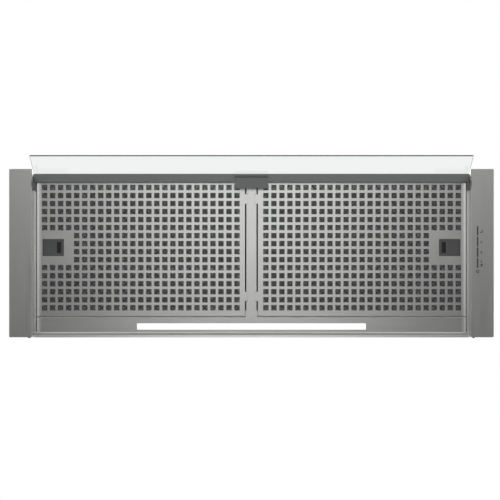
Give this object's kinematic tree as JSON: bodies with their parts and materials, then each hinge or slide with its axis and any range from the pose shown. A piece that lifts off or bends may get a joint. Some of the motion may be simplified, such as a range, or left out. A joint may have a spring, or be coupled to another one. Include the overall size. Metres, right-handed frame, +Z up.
{
  "type": "range hood insert",
  "caption": "Range hood insert for a wall cabinet: blower body, flange with side covers, drop-down perforated filters, lamp bar, folding glass visor and top duct collar.",
  "frame": {"origin": "centre of the flange's top plane, which bears on the cabinet's underside from below; X=0 is the middle and Y=0 the middle of the side covers' depth", "axes": "+X to the user's right (the longest side), +Y towards the wall, +Z up"},
  "size_m": [0.898, 0.3367, 0.3282],
  "materials": {
    "stainless_brushed": "grained stainless steel",
    "galvanised": "bright zinc-coated sheet",
    "opal_diffuser": "opal acrylic",
    "aluminium_satin": "satin aluminium",
    "graphite_bar": "dark anodised aluminium",
    "clear_glass": "clear tempered glass",
    "black_plastic": "moulded black plastic",
    "grey_plastic": "moulded grey plastic",
    "black_rubber": "moulded rubber",
    "white_foam": "closed-cell foam",
    "circuit_board": "coated fibreglass board",
    "bright_steel": "bright zinc-plated steel",
    "painted_motor": "satin black paint",
    "nylon_white": "natural nylon"
  },
  "bodies": {
    "hood": {"base_frame": "stainless_brushed", "side_cover_right": "stainless_brushed", "side_cover_left": "stainless_brushed", "centre_bar": "stainless_brushed", "light_bar": "stainless_brushed", "rear_rail": "stainless_brushed", "housing_shell": "galvanised", "top_plate": "galvanised", "led_diffuser": "opal_diffuser", "lamp_channel": "aluminium_satin", "led_strip": "circuit_board", "led_driver": "grey_plastic", "touch_board": "circuit_board", "rear_bumpers": "black_rubber", "cover_clips": "bright_steel", "hinge_bracket_right": "galvanised", "hinge_bracket_left": "galvanised", "pivot_pins": "bright_steel", "friction_washers": "nylon_white", "scroll_right": "black_plastic", "scroll_left": "black_plastic", "inlet_ring_right": "black_plastic", "inlet_ring_left": "black_plastic", "motor": "painted_motor", "motor_bracket": "galvanised", "motor_mounts": "black_rubber", "capacitor": "nylon_white", "duct_collar": "black_plastic", "collar_gasket": "white_foam", "control_box": "grey_plastic", "control_box_lid": "grey_plastic", "terminal_block": "nylon_white", "cable_gland": "black_plastic", "frame_screws": "bright_steel", "top_screws": "bright_steel", "blower_screws": "bright_steel"},
    "visor": {"visor_profile": "graphite_bar", "visor_glass": "clear_glass", "visor_handle": "graphite_bar", "visor_arm_right": "graphite_bar", "visor_arm_left": "graphite_bar", "visor_screws": "bright_steel"},
    "filter_right": {"filter_cover_right": "stainless_brushed", "filter_mesh_right": "aluminium_satin", "filter_back_right": "galvanised", "latch_bezel_right": "grey_plastic", "latch_spring_right": "bright_steel"},
    "filter_left": {"filter_cover_left": "stainless_brushed", "filter_mesh_left": "aluminium_satin", "filter_back_left": "galvanised", "latch_bezel_left": "grey_plastic", "latch_spring_left": "bright_steel"},
    "latch_right": {"latch_slider_right": "grey_plastic"},
    "latch_left": {"latch_slider_left": "grey_plastic"},
    "fan": {"impeller": "grey_plastic", "rotor_shaft": "bright_steel"},
    "flap_rear": {"damper_flap_rear": "grey_plastic"},
    "flap_front": {"damper_flap_front": "grey_plastic"}
  },
  "joints": [
    {"name": "visor_hinge", "type": "hinge", "parent": "hood", "child": "visor", "pos_m": [0, -0.129, -0.0105], "axis": [1, 0, 0], "range_deg": [-40, 0]},
    {"name": "filter_right_tilt", "type": "hinge", "parent": "hood", "child": "filter_right", "pos_m": [0.007, 0, 0.0001], "axis": [0, 1, 0], "range_deg": [0, 28]},
    {"name": "filter_left_tilt", "type": "hinge", "parent": "hood", "child": "filter_left", "pos_m": [-0.007, 0, 0.0001], "axis": [0, -1, 0], "range_deg": [0, 28]},
    {"name": "latch_right_slide", "type": "slide", "parent": "filter_right", "child": "latch_right", "axis": [-1, 0, 0], "range_m": [0, 0.006], "stiffness_N_per_m": 300, "springref_m": -0.004, "deforming": ["latch_spring_right"]},
    {"name": "latch_left_slide", "type": "slide", "parent": "filter_left", "child": "latch_left", "axis": [1, 0, 0], "range_m": [0, 0.006], "stiffness_N_per_m": 300, "springref_m": -0.004, "deforming": ["latch_spring_left"]},
    {"name": "fan_spin", "type": "hinge", "parent": "hood", "child": "fan", "pos_m": [0, -0.037, 0.111], "axis": [1, 0, 0], "continuous": true},
    {"name": "flap_rear_hinge", "type": "hinge", "parent": "hood", "child": "flap_rear", "pos_m": [0, 0.0135, 0.2522], "axis": [1, 0, 0], "range_deg": [0, 75]},
    {"name": "flap_front_hinge", "type": "hinge", "parent": "hood", "child": "flap_front", "pos_m": [0, 0.0065, 0.2522], "axis": [-1, 0, 0], "range_deg": [0, 75]}
  ]
}
